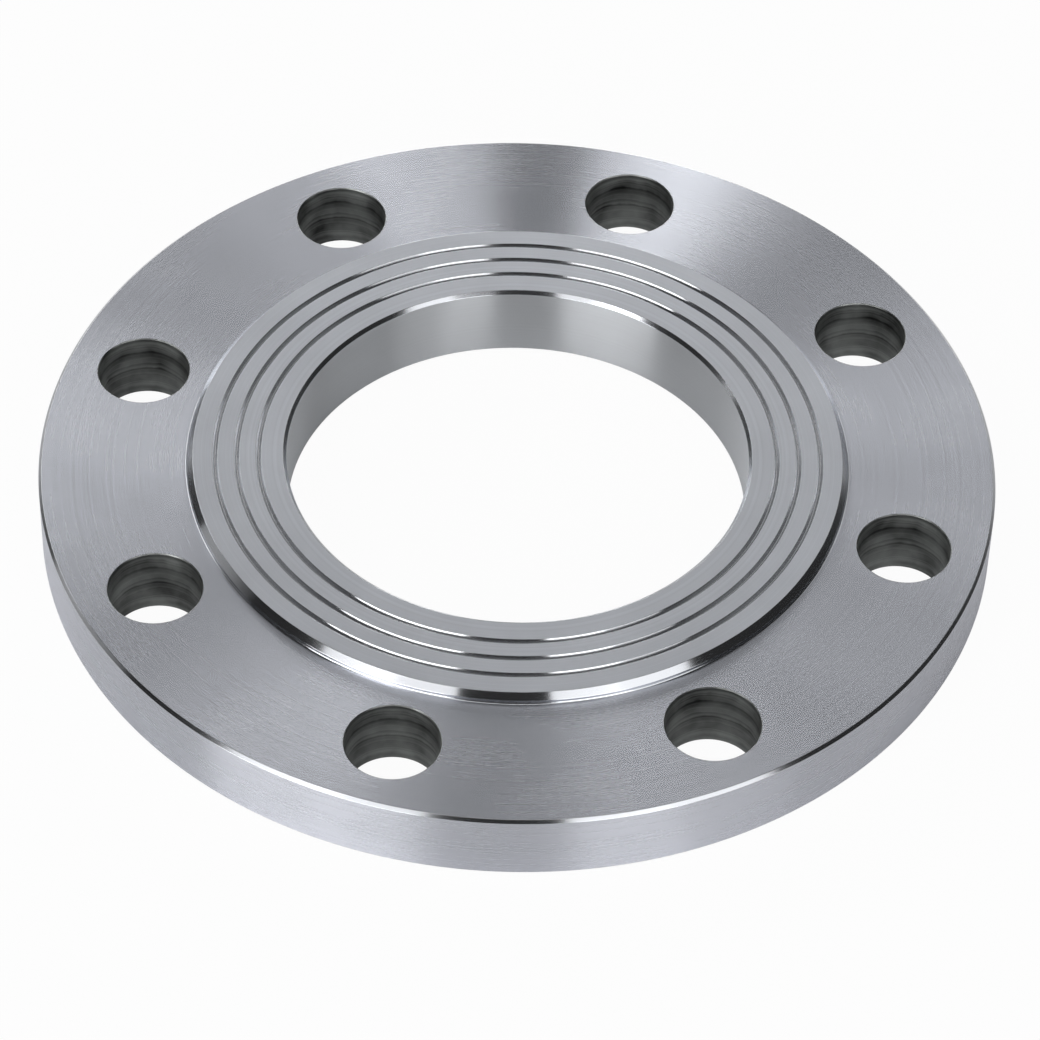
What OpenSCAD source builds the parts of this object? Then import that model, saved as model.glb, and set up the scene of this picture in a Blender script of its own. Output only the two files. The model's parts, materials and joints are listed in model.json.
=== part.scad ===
// Slip-on pipe flange of the plate type, turned and drilled from one piece of stainless steel.
// The origin is at the centre of the back face, and the pipe axis is +Z, towards the gasket.

/* [Ring] */
// Width of the ring from the bolt circle out to the rim
rim_w = 19.05; // [15:0.05:45]
// Thickness of the ring at the bolt holes
ring_t = 18; // [8:0.5:40]
// Bevel turned on both corners of the rim
rim_bevel = 0.7; // [0.2:0.1:2]

/* [Raised face] */
// Diameter of the raised gasket face
face_d = 158; // [142:0.1:166]
// Height of the raised face above the ring
face_h = 2.4; // [1.8:0.1:6]
// Bevel turned on the outer corner of the raised face
face_bevel = 1.4; // [0.2:0.1:1.6]
// Radius that the tool nose leaves at the foot of the raised face
foot_r = 0.4; // [0.2:0.1:0.6]

/* [Gasket grooves] */
// Number of concentric grooves in the raised face
groove_n = 3; // [1:1:4]
// Spacing of the grooves along the radius
groove_pitch = 5.2; // [2.6:0.1:5.8]
// Width of a groove at the face
groove_w = 1.3; // [0.8:0.1:2.4]
// Depth of a groove below the face
groove_depth = 0.8; // [0.4:0.1:1.6]
// Width of the flat that the tool tip leaves at the bottom of a groove
groove_tip = 0.3; // [0.1:0.1:0.7]

/* [Bore] */
// Diameter of the bore that the pipe slips into
bore_d = 110.5; // [90:0.1:124]
// Bevel at the front of the bore, on the gasket side
bore_front_bevel = 0.8; // [0.2:0.1:2]
// Bevel at the back of the bore, where the pipe enters
bore_back_bevel = 1.4; // [0.2:0.1:4]

/* [Bolt holes] */
// Number of bolt holes
bolt_n = 8; // [4:4:16]
// Diameter of the circle through the hole centres
bolt_circle_d = 190.5; // [184:0.1:260]
// Diameter of a bolt hole
bolt_hole_d = 22; // [12:0.5:28]
// Bevel at both ends of a bolt hole
hole_bevel = 0.2; // [0.1:0.1:2]

/* [Hidden] */
$fn = 180;
// How far a cutting tool runs past the surface that it cuts
cut_over = 1;
bolt_circle_r = bolt_circle_d / 2;
ring_r = bolt_circle_r + rim_w;
face_r = face_d / 2;
bore_r = bore_d / 2;
hole_r = bolt_hole_d / 2;
front_z = ring_t + face_h;
bolt_step = 360 / bolt_n;
// The grooves are centred on the gasket width, between the bore and the edge of the face
groove_mid_r = (bore_r + face_r) / 2;

// Radius of one groove, counted outwards from the bore
function groove_r(index) = groove_mid_r + (index - (groove_n - 1) / 2) * groove_pitch;

// Half-section of one groove, from its outer lip to its inner lip
function groove_points(r) = [
    [r + groove_w / 2, front_z],
    [r + groove_tip / 2, front_z - groove_depth],
    [r - groove_tip / 2, front_z - groove_depth],
    [r - groove_w / 2, front_z],
];

// Half-section of the ring and its rim, from the bore to the foot of the raised face
function ring_points() = [
    [bore_r, bore_back_bevel],
    [bore_r + bore_back_bevel, 0],
    [ring_r - rim_bevel, 0],
    [ring_r, rim_bevel],
    [ring_r, ring_t - rim_bevel],
    [ring_r - rim_bevel, ring_t],
    [face_r, ring_t],
];

// Half-section of the raised face, from its bevelled edge over the grooves to the bore
function face_points() = [
    [face_r, front_z - face_bevel],
    [face_r - face_bevel, front_z],
    for (index = [groove_n - 1 : -1 : 0]) each groove_points(groove_r(index)),
    [bore_r + bore_front_bevel, front_z],
    [bore_r, front_z - bore_front_bevel],
];

// Small fillet in the corner between the ring and the raised face
module foot_fillet() {
    translate([face_r, ring_t])
        difference() {
            square(foot_r);
            translate([foot_r, foot_r]) circle(foot_r);
        }
}

module turned_blank() {
    rotate_extrude() {
        polygon(concat(ring_points(), face_points()));
        foot_fillet();
    }
}

// One drilled hole with a bevel at each end, standing on the back face
module bolt_hole() {
    translate([0, 0, -cut_over]) cylinder(h = front_z + 2 * cut_over, r = hole_r);
    translate([0, 0, -cut_over])
        cylinder(h = hole_bevel + cut_over, r1 = hole_r + hole_bevel + cut_over, r2 = hole_r);
    translate([0, 0, ring_t - hole_bevel])
        cylinder(h = hole_bevel + cut_over, r1 = hole_r, r2 = hole_r + hole_bevel + cut_over);
}

// The holes straddle the X and Y centre lines
module bolt_holes() {
    for (index = [0 : bolt_n - 1])
        rotate((index + 0.5) * bolt_step)
            translate([bolt_circle_r, 0, 0]) bolt_hole();
}

module flange() {
    color([0.70, 0.71, 0.74])
        difference() {
            turned_blank();
            bolt_holes();
        }
}

flange();
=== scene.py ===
import bmesh
import bpy
import json
import math
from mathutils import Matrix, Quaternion, Vector


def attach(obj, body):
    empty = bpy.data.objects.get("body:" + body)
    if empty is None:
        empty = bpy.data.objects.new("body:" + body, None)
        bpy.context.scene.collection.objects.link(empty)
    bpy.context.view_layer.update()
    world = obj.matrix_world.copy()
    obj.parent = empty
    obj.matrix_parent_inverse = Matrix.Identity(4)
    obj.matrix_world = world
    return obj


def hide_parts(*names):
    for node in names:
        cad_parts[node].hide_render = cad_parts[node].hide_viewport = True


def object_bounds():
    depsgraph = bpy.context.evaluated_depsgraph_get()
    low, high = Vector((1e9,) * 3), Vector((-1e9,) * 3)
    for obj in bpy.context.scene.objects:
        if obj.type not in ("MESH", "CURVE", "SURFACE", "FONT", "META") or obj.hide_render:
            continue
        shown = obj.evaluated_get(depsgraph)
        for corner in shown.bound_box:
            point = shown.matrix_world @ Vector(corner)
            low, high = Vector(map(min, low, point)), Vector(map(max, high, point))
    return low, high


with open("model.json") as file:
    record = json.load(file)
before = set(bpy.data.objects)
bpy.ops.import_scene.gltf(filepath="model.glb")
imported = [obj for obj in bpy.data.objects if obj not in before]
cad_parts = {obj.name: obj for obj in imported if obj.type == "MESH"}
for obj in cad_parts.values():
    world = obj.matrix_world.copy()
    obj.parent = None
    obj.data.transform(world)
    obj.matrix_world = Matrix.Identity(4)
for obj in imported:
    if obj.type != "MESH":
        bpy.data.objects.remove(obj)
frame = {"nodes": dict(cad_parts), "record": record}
cadLow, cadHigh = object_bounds()
mounts = {mount["name"]: mount for mount in frame["record"]["mounts"]}
mm = 0.001
print("frame loaded:", sorted(frame["nodes"]))


# sizes of the turned ring, in metres; the bore, bolts and outside come from the frame
ring = {
    "outerR": cadHigh.x,
    "frontZ": cadHigh.z,
    "thickness": 18.0 * mm,
    "rimBevel": 0.7 * mm,
    "edgeRadius": 0.16 * mm,      # how far the deburring rounds a sharp corner
    "edgeSteps": 4,
    "segments": 512,
}

raisedFace = {
    "radius": 79.0 * mm,
    "bevel": 1.4 * mm,
    "footRadius": 0.4 * mm,
}

grooves = {
    "count": 3,
    "pitch": 5.2 * mm,
    "width": 1.3 * mm,
    "depth": 0.8 * mm,
    "tip": 0.3 * mm,
    "lipRadius": 0.1 * mm,
}

bore = {
    "radius": mounts["pipe_bore"]["dims"]["r_mm"] * mm,
    "frontBevel": 0.8 * mm,
    "backBevel": 1.4 * mm,
}

boltHoles = {
    "circleR": mounts["bolt_circle"]["dims"]["pcd_mm"] * mm / 2,
    "count": mounts["bolt_circle"]["dims"]["count"],
    "radius": mounts["bolt_circle"]["dims"]["hole_r_mm"] * mm,
    "bevel": 0.2 * mm,
    "segments": 96,
}


def addObject(name, data):
    item = bpy.data.objects.new(name, data)
    bpy.context.scene.collection.objects.link(item)
    return item


def roundedCorner(before, corner, after, radius, steps):
    # arc that is tangent to both sides of a corner, as points with outward normals
    back = (before - corner).normalized()
    ahead = (after - corner).normalized()
    half = back.angle(ahead) / 2
    trim = radius / math.tan(half)
    centre = corner + (back + ahead).normalized() * (radius / math.sin(half))
    convex = back.x * ahead.y - back.y * ahead.x < 0
    start = corner + back * trim - centre
    sweep = (math.pi - 2 * half) * (1 if convex else -1)
    points = []
    for step in range(steps + 1):
        turn = sweep * step / steps
        arm = Vector((start.x * math.cos(turn) - start.y * math.sin(turn),
                      start.x * math.sin(turn) + start.y * math.cos(turn)))
        normal = arm.normalized() if convex else -arm.normalized()
        points.append((centre + arm, normal))
    return points


def roundedOutline(corners, closed):
    # corners are (r, z, radius, finish of the stretch that follows)
    outline = []
    count = len(corners)
    for index, (r, z, radius, finish) in enumerate(corners):
        # the ends of an open outline only give a direction
        if not closed and index in (0, count - 1):
            continue
        before = Vector(corners[index - 1][:2])
        after = Vector(corners[(index + 1) % count][:2])
        arc = roundedCorner(before, Vector((r, z)), after, radius, ring["edgeSteps"])
        softFinish = finish if finish in ("groove", "drilled") else "bevel"
        for step, (point, normal) in enumerate(arc):
            last = step == len(arc) - 1
            outline.append((point, normal, finish if last else softFinish))
    return outline


def grooveCorners(r):
    top = ring["frontZ"]
    bottom = top - grooves["depth"]
    lip = grooves["lipRadius"]
    return [
        (r + grooves["width"] / 2, top, lip, "groove"),
        (r + grooves["tip"] / 2, bottom, lip, "groove"),
        (r - grooves["tip"] / 2, bottom, lip, "groove"),
        (r - grooves["width"] / 2, top, lip, "gasketFace"),
    ]


def turnedSection():
    outer, top, thick = ring["outerR"], ring["frontZ"], ring["thickness"]
    soft, bevel = ring["edgeRadius"], ring["rimBevel"]
    faceR, faceBevel = raisedFace["radius"], raisedFace["bevel"]
    inner, back, front = bore["radius"], bore["backBevel"], bore["frontBevel"]
    middle = (inner + faceR) / 2
    corners = [
        (inner, back, soft, "bevel"),
        (inner + back, 0.0, soft, "plate"),
        (outer - bevel, 0.0, soft, "bevel"),
        (outer, bevel, soft, "rim"),
        (outer, thick - bevel, soft, "bevel"),
        (outer - bevel, thick, soft, "plate"),
        (faceR, thick, raisedFace["footRadius"], "shoulder"),
        (faceR, top - faceBevel, soft, "shoulder"),
        (faceR - faceBevel, top, soft, "gasketFace"),
    ]
    for index in reversed(range(grooves["count"])):
        offset = (index - (grooves["count"] - 1) / 2) * grooves["pitch"]
        corners += grooveCorners(middle + offset)
    corners += [
        (inner + front, top, soft, "bevel"),
        (inner, top - front, soft, "bore"),
    ]
    return roundedOutline(corners, closed=True)


def drilledSection():
    r, bevel, thick = boltHoles["radius"], boltHoles["bevel"], ring["thickness"]
    soft, run = ring["edgeRadius"], 2 * boltHoles["bevel"]
    corners = [
        (r + bevel + run, thick, 0.0, "plate"),
        (r + bevel, thick, soft, "drilled"),
        (r, thick - bevel, soft, "drilled"),
        (r, bevel, soft, "bevel"),
        (r + bevel, 0.0, soft, "plate"),
        (r + bevel + run, 0.0, 0.0, "plate"),
    ]
    return roundedOutline(corners, closed=False)


def ringOfVerts(mesh, normals, centre, point, normal, segments):
    verts = []
    for step in range(segments):
        angle = 2 * math.pi * step / segments
        cosine, sine = math.cos(angle), math.sin(angle)
        verts.append(mesh.verts.new((centre[0] + point.x * cosine, centre[1] + point.x * sine, point.y)))
        normals.append((normal.x * cosine, normal.x * sine, normal.y))
    return verts


def bandOfFaces(mesh, lower, upper, finish):
    count = len(lower)
    for step in range(count):
        ahead = (step + 1) % count
        face = mesh.faces.new((lower[step], lower[ahead], upper[ahead], upper[step]))
        face.material_index = finishOrder.index(finish)


def loopEdges(mesh, verts):
    edges = []
    for index, vert in enumerate(verts):
        pair = (verts[index - 1], vert)
        edges.append(mesh.edges.get(pair) or mesh.edges.new(pair))
    return edges


def drilledFlat(mesh, loops, up):
    # flat annulus between two turned edges, filled round the bolt holes
    edges = [edge for loop in loops for edge in loopEdges(mesh, loop)]
    filled = bmesh.ops.triangle_fill(mesh, use_beauty=True, edges=edges, normal=(0, 0, up))
    for face in filled["geom"]:
        if isinstance(face, bmesh.types.BMFace):
            face.material_index = finishOrder.index("plate")
            face.normal_update()
            if face.normal.z * up < 0:
                face.normal_flip()


def buildFlange():
    mesh = bmesh.new()
    normals = []
    section = turnedSection()
    rings = [ringOfVerts(mesh, normals, (0, 0), point, normal, ring["segments"])
             for point, normal, finish in section]
    flats = []
    for index, (point, normal, finish) in enumerate(section):
        following = (index + 1) % len(section)
        if finish == "plate":
            flats.append((rings[index], rings[following], 1 if normal.y > 0 else -1))
        else:
            bandOfFaces(mesh, rings[index], rings[following], finish)
    holeTops, holeBottoms = [], []
    drilled = drilledSection()
    for index in range(boltHoles["count"]):
        angle = 2 * math.pi * (index + 0.5) / boltHoles["count"]
        centre = (boltHoles["circleR"] * math.cos(angle), boltHoles["circleR"] * math.sin(angle))
        levels = [ringOfVerts(mesh, normals, centre, point, normal, boltHoles["segments"])
                  for point, normal, finish in drilled]
        for level in range(len(levels) - 1):
            bandOfFaces(mesh, levels[level], levels[level + 1], drilled[level][2])
        holeTops.append(levels[0])
        holeBottoms.append(levels[-1])
    for first, second, up in flats:
        drilledFlat(mesh, [first, second] + (holeTops if up > 0 else holeBottoms), up)
    data = bpy.data.meshes.new("turnedFlange")
    mesh.to_mesh(data)
    mesh.free()
    for polygon in data.polygons:
        polygon.use_smooth = True
    data.normals_split_custom_set_from_vertices(normals)
    flange = addObject("turnedFlange", data)
    print("flange mesh:", len(data.vertices), "points,", len(data.polygons), "faces")
    return flange


# one look for each finish; the tool lines step outwards or upwards, with pitch and height in metres
finishes = {
    "plate": {"color": (0.580, 0.597, 0.648), "roughness": 0.265, "anisotropy": 1.0,
              "steps": (1, 0), "pitch": 0.80 * mm, "height": 6e-6,
              "wander": 0.05, "mottle": 0.20, "grain": 45, "waver": 0.0},
    "gasketFace": {"color": (0.558, 0.577, 0.618), "roughness": 0.38, "anisotropy": 0.35,
                   "steps": (1, 0), "pitch": 0.80 * mm, "height": 10e-6,
                   "wander": 0.05, "mottle": 0.20, "grain": 45, "waver": 0.0},
    "shoulder": {"color": (0.600, 0.615, 0.645), "roughness": 0.13, "anisotropy": 0.90,
                 "steps": (1, 1), "pitch": 0.30 * mm, "height": 1e-6,
                 "wander": 0.03, "mottle": 0.04, "grain": 45, "waver": 0.0},
    # the rim is coloured lighter than the other steel: painted light on the outside of the ring
    "rim": {"color": (0.690, 0.704, 0.765), "roughness": 0.28, "anisotropy": 1.0,
            "steps": (0, 1), "pitch": 0.60 * mm, "height": 40e-6,
            "wander": 0.06, "mottle": 0.07, "grain": 45, "waver": 0.0},
    "bore": {"color": (0.590, 0.606, 0.630), "roughness": 0.31, "anisotropy": 1.0,
             "steps": (0, 1), "pitch": 0.60 * mm, "height": 40e-6,
             "wander": 0.08, "mottle": 0.08, "grain": 60, "waver": 0.0},
    "bevel": {"color": (0.600, 0.615, 0.645), "roughness": 0.16, "anisotropy": 0.80,
              "steps": (1, 1), "pitch": 0.30 * mm, "height": 2e-6,
              "wander": 0.04, "mottle": 0.05, "grain": 45, "waver": 0.0},
    # the grooves are coloured darker than the gasket face: painted shade in the recesses
    "groove": {"color": (0.480, 0.490, 0.510), "roughness": 0.18, "anisotropy": 0.90,
               "steps": (1, 1), "pitch": 0.30 * mm, "height": 3e-6,
               "wander": 0.05, "mottle": 0.06, "grain": 45, "waver": 0.0},
    # the bolt-hole walls are coloured far darker than the other steel: painted shade inside the holes, over
    # the rougher drilled finish
    "drilled": {"color": (0.248, 0.258, 0.254), "roughness": 0.42, "anisotropy": 0.0,
                "steps": (0, 1), "pitch": 2.60 * mm, "height": 220e-6,
                "wander": 0.20, "mottle": 2.9, "grain": 110, "waver": 0.9},
}
finishOrder = list(finishes)

# what the tool marks of all the finishes share
toolMarks = {
    "shineTurn": 0.25,            # a quarter turn, so that the shine spreads across the lines
    "detail": 3.0,
    "lineRoughness": 0.6,
    "darkest": 0.1,               # lowest share of the colour in a dark line
}


def addNode(tree, kind, **settings):
    node = tree.nodes.new(kind)
    for name, value in settings.items():
        setattr(node, name, value)
    return node


def mathNode(tree, operation, first, second=None):
    node = addNode(tree, "ShaderNodeMath", operation=operation)
    for socket, value in zip(node.inputs, (first, second)):
        if value is None:
            continue
        if isinstance(value, (int, float)):
            socket.default_value = value
        else:
            tree.links.new(value, socket)
    return node.outputs[0]


def steelFinish(name, look):
    material = bpy.data.materials.new(name)
    material.use_nodes = True
    tree = material.node_tree
    shader = tree.nodes["Principled BSDF"]
    shader.inputs["Metallic"].default_value = 1.0
    shader.inputs["Anisotropic"].default_value = look["anisotropy"]
    shader.inputs["Anisotropic Rotation"].default_value = toolMarks["shineTurn"]
    place = addNode(tree, "ShaderNodeTexCoord").outputs["Object"]
    split = addNode(tree, "ShaderNodeSeparateXYZ")
    tree.links.new(place, split.inputs[0])
    x, y, z = split.outputs
    square = mathNode(tree, "ADD", mathNode(tree, "MULTIPLY", x, x), mathNode(tree, "MULTIPLY", y, y))
    radius = mathNode(tree, "SQRT", square)
    outwards, upwards = look["steps"]
    along = mathNode(tree, "ADD", mathNode(tree, "MULTIPLY", radius, outwards),
                     mathNode(tree, "MULTIPLY", z, upwards))
    patches = addNode(tree, "ShaderNodeTexNoise")
    patches.inputs["Scale"].default_value = look["grain"]
    patches.inputs["Detail"].default_value = toolMarks["detail"]
    tree.links.new(place, patches.inputs["Vector"])
    lines = addNode(tree, "ShaderNodeTexNoise", noise_dimensions="1D")
    lines.inputs["Scale"].default_value = 1.0
    lines.inputs["Detail"].default_value = toolMarks["detail"]
    lines.inputs["Roughness"].default_value = toolMarks["lineRoughness"]
    # a drill's marks waver, and those of the lathe run true
    waver = mathNode(tree, "MULTIPLY", patches.outputs["Fac"], look["waver"])
    turns = mathNode(tree, "ADD", mathNode(tree, "DIVIDE", along, look["pitch"]), waver)
    tree.links.new(turns, lines.inputs["W"])
    # roughness and tone wander a little from line to line and from patch to patch
    both = mathNode(tree, "ADD", lines.outputs["Fac"], patches.outputs["Fac"])
    drift = mathNode(tree, "SUBTRACT", both, 1.0)
    roughness = mathNode(tree, "ADD", mathNode(tree, "MULTIPLY", drift, look["wander"]), look["roughness"])
    tree.links.new(roughness, shader.inputs["Roughness"])
    shade = mathNode(tree, "ADD", mathNode(tree, "MULTIPLY", drift, look["mottle"]), 1.0)
    tint = addNode(tree, "ShaderNodeVectorMath", operation="SCALE")
    tint.inputs[0].default_value = look["color"]
    tree.links.new(mathNode(tree, "MAXIMUM", shade, toolMarks["darkest"]), tint.inputs["Scale"])
    tree.links.new(tint.outputs["Vector"], shader.inputs["Base Color"])
    bump = addNode(tree, "ShaderNodeBump")
    bump.inputs["Strength"].default_value = 1.0
    bump.inputs["Distance"].default_value = look["height"]
    tree.links.new(lines.outputs["Fac"], bump.inputs["Height"])
    tree.links.new(bump.outputs["Normal"], shader.inputs["Normal"])
    tangent = addNode(tree, "ShaderNodeTangent", direction_type="RADIAL", axis="Z")
    tree.links.new(tangent.outputs["Tangent"], shader.inputs["Tangent"])
    return material


flange = buildFlange()
for finish in finishOrder:
    flange.data.materials.append(steelFinish(finish + "Steel", finishes[finish]))
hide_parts("flange")
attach(flange, "root")
print("finishes on the flange:", ", ".join(finishOrder))


def compass(azimuth, elevation):
    # 0 degrees is towards -Y and 90 towards +X
    a, e = math.radians(azimuth), math.radians(elevation)
    return Vector((math.sin(a) * math.cos(e), -math.cos(a) * math.cos(e), math.sin(e)))


view = {
    "azimuth": -6.33,
    "elevation": 45.79,
    "roll": -1.54,
    "distance": 1.1366,
    "lens": 162.55,
    "sensor": 36.0,
    "nearClip": 0.05,
    "farClip": 50.0,
    "frame": 1040,
    "centrePixel": (516.0, 510.2),     # where the middle of the back face lies in the frame
}


def buildCamera():
    lensData = bpy.data.cameras.new("camera")
    lensData.lens = view["lens"]
    lensData.sensor_width = view["sensor"]
    lensData.clip_start = view["nearClip"]
    lensData.clip_end = view["farClip"]
    camera = addObject("camera", lensData)
    back = compass(view["azimuth"], view["elevation"])
    camera.location = back * view["distance"]
    middle = view["frame"] / 2
    focal = view["lens"] / view["sensor"] * view["frame"]
    panRight = (middle - view["centrePixel"][0]) / focal
    tiltUp = (view["centrePixel"][1] - middle) / focal
    aim = (-back).to_track_quat("-Z", "Y")
    nudge = Quaternion((0, 1, 0), -panRight) @ Quaternion((1, 0, 0), tiltUp)
    turn = Quaternion((0, 0, 1), -math.radians(view["roll"]))
    camera.rotation_mode = "QUATERNION"
    camera.rotation_quaternion = aim @ nudge @ turn
    bpy.context.scene.camera = camera


buildCamera()
print("camera set")


# softboxes and white cards round the table; azimuth is counted from the camera, level 1 is white
softboxes = {
    "leftLow": {"azimuth": (-61.7, -17.7), "elevation": (0, 20), "level": 6.4},
    "sideLeft": {"azimuth": (-112.0, -86.0), "elevation": (0, 20), "level": 0.35},
    "leftTall": {"azimuth": (-61.7, -17.7), "elevation": (20, 62), "level": 1.3},
    "leftHigh": {"azimuth": (-61.7, -40.0), "elevation": (42, 62), "level": 4.0},
    "rightLow": {"azimuth": (12.8, 35.0), "elevation": (0, 20), "level": 4.8},
    "rightInner": {"azimuth": (12.8, 35.0), "elevation": (20, 44), "level": 1.75},
    "rightTall": {"azimuth": (35.0, 57.6), "elevation": (0, 62), "level": 1.45},
    "backLeftStrip": {"azimuth": (181.4, 187.8), "elevation": (0, 27), "level": 4.2},
    "backLeftCard": {"azimuth": (185.5, 195.0), "elevation": (14, 35), "level": 1.85},
    "backLeftLow": {"azimuth": (198.5, 213.0), "elevation": (0, 27), "level": 2.2},
    "farLeft": {"azimuth": (203.0, 252.0), "elevation": (27, 40), "level": 3.1},
    "backRightStrip": {"azimuth": (171.0, 177.1), "elevation": (0, 30), "level": 4.5},
    "backRightCard": {"azimuth": (170.0, 176.0), "elevation": (27, 40), "level": 1.7},
    "backRightWide": {"azimuth": (148.0, 163.0), "elevation": (0, 35), "level": 1.3},
    "farRight": {"azimuth": (119.0, 160.0), "elevation": (27, 40), "level": 1.15},
    "backHigh": {"azimuth": (140.0, 205.0), "elevation": (44, 60), "level": 0.58},
    "topLeft": {"azimuth": (-78.0, -2.0), "elevation": (62, 88), "level": 1.0},
    "topRight": {"azimuth": (2.0, 78.0), "elevation": (62, 88), "level": 1.0},
}

stageLook = {
    "floorSize": 12.0,
    "floorDrop": 0.2 * mm,
    "floorColor": (0.70, 0.70, 0.70, 1),
    "whiteSeen": 0.96,            # share of the floor that the camera sees as plain white
    "whiteMirrored": 0.10,        # the same share in a reflection
    "roomLevel": 0.03,
    "boxDistance": 3.0,
    "overheadFrom": 60,           # a box that starts above this elevation leans over the table
}


def addSoftbox(name, box):
    left, right = [math.radians(view["azimuth"] + part) for part in box["azimuth"]]
    low, high = [math.radians(part) for part in box["elevation"]]
    reach = stageLook["boxDistance"]
    overhead = low > math.radians(stageLook["overheadFrom"])
    lean = (low + high) / 2 if overhead else 0.0
    width = 2 * reach * math.cos(lean) * math.tan((right - left) / 2)
    bottom, top = reach * math.tan(low - lean), reach * math.tan(high - lean)
    lamp = bpy.data.lights.new(name, "AREA")
    lamp.shape = "RECTANGLE"
    lamp.size = width
    lamp.size_y = top - bottom
    lamp.energy = box["level"] * math.pi * width * (top - bottom)
    softbox = addObject(name, lamp)
    towards = compass(math.degrees(left + right) / 2, math.degrees(lean))
    softbox.location = towards * reach + Vector((0, 0, (top + bottom) / 2))
    softbox.rotation_mode = "QUATERNION"
    softbox.rotation_quaternion = towards.to_track_quat("Z", "Y")
    softbox.visible_camera = False


def whiteShare(tree):
    # how much of the floor shows as plain white to the camera and to reflections
    path = addNode(tree, "ShaderNodeLightPath")
    mirrored = mathNode(tree, "MAXIMUM", path.outputs["Is Glossy Ray"], path.outputs["Is Transmission Ray"])
    seen = mathNode(tree, "MULTIPLY", path.outputs["Is Camera Ray"], stageLook["whiteSeen"])
    return mathNode(tree, "MAXIMUM", seen, mathNode(tree, "MULTIPLY", mirrored, stageLook["whiteMirrored"]))


def buildFloor():
    half = stageLook["floorSize"] / 2
    drop = -stageLook["floorDrop"]
    data = bpy.data.meshes.new("floor")
    data.from_pydata([(-half, -half, drop), (half, -half, drop), (half, half, drop), (-half, half, drop)],
                     [], [(0, 1, 2, 3)])
    floor = addObject("floor", data)
    material = bpy.data.materials.new("paleFloor")
    material.use_nodes = True
    tree = material.node_tree
    tree.nodes.clear()
    lit = addNode(tree, "ShaderNodeBsdfDiffuse")
    lit.inputs["Color"].default_value = stageLook["floorColor"]
    white = addNode(tree, "ShaderNodeEmission")
    white.inputs["Strength"].default_value = 1.0
    blend = addNode(tree, "ShaderNodeMixShader")
    tree.links.new(whiteShare(tree), blend.inputs["Fac"])
    tree.links.new(lit.outputs[0], blend.inputs[1])
    tree.links.new(white.outputs[0], blend.inputs[2])
    result = addNode(tree, "ShaderNodeOutputMaterial")
    tree.links.new(blend.outputs[0], result.inputs["Surface"])
    data.materials.append(material)


def buildRoom():
    world = bpy.data.worlds.new("room")
    bpy.context.scene.world = world
    world.use_nodes = True
    background = world.node_tree.nodes["Background"]
    background.inputs["Color"].default_value = (1, 1, 1, 1)
    background.inputs["Strength"].default_value = stageLook["roomLevel"]


for name, box in softboxes.items():
    addSoftbox(name, box)
buildFloor()
buildRoom()
bpy.context.scene.view_settings.view_transform = "Standard"
print("stage lit by", ", ".join(softboxes))
